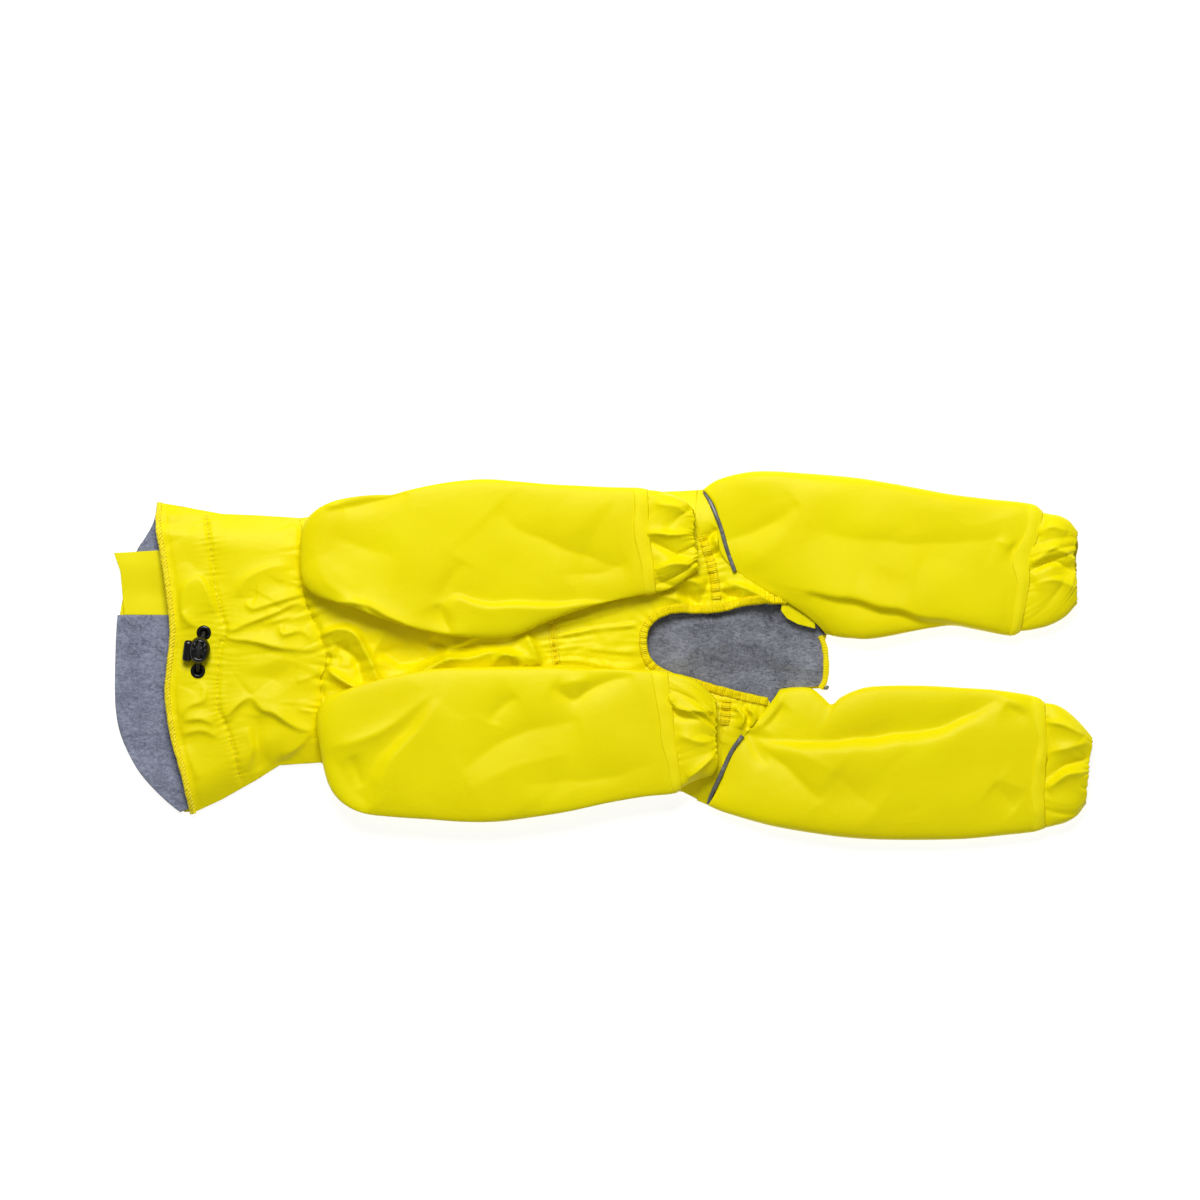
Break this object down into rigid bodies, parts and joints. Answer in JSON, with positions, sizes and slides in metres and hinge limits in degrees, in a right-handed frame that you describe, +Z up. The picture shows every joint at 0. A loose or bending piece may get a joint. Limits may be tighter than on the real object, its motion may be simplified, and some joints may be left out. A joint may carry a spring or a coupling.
{
  "type": "dog raincoat, four-legged overall",
  "caption": "Four-legged dog raincoat in yellow coated cloth with a grey fleece lining, lying flat belly side up, with a drawcord collar and gathered cuffs.",
  "frame": {"origin": "the surface under the middle of the garment's outline", "axes": "+X from the neck to the hind legs, +Y to the upper side of the picture, +Z up from the surface"},
  "size_m": [0.6835, 0.2582, 0.029],
  "materials": {
    "coated_nylon": "smooth coated nylon with a soft sheen",
    "seam_tape": "doubled coated nylon, slightly warmer",
    "gathered_elastic": "overlocked elastic in finely gathered cloth",
    "fleece": "matt brushed fleece",
    "reflective_piping": "grey reflective piping",
    "black_plastic": "moulded, matt",
    "black_cord": "round elastic cord",
    "gunmetal": "dark plated, glossy"
  },
  "bodies": {
    "root": {"back_shell": "coated_nylon", "chest_panel": "coated_nylon", "flank_upper": "coated_nylon", "flank_lower": "coated_nylon", "thigh_facing": "coated_nylon", "collar_front": "coated_nylon", "collar_back_shell": "coated_nylon", "front_leg_upper": "coated_nylon", "front_leg_lower": "coated_nylon", "hind_leg_upper": "coated_nylon", "hind_leg_lower": "coated_nylon", "front_cuff_upper": "coated_nylon", "front_cuff_lower": "coated_nylon", "hind_cuff_upper": "coated_nylon", "hind_cuff_lower": "coated_nylon", "front_tape_upper": "seam_tape", "front_tape_lower": "seam_tape", "hind_tape_upper": "seam_tape", "hind_tape_lower": "seam_tape", "placket_tab": "seam_tape", "belly_binding": "gathered_elastic", "flank_elastic_upper": "gathered_elastic", "flank_elastic_lower": "gathered_elastic", "chest_elastic": "gathered_elastic", "tail_hem": "gathered_elastic", "back_lining": "fleece", "collar_lining_lower": "fleece", "collar_lining_upper": "fleece", "piping_upper": "reflective_piping", "piping_lower": "reflective_piping", "tail_loop": "reflective_piping", "cord_lock_body": "black_plastic", "cord_lock_button": "black_plastic", "drawcord": "black_cord", "eyelet_upper": "gunmetal", "eyelet_lower": "gunmetal"}
  },
  "joints": []
}
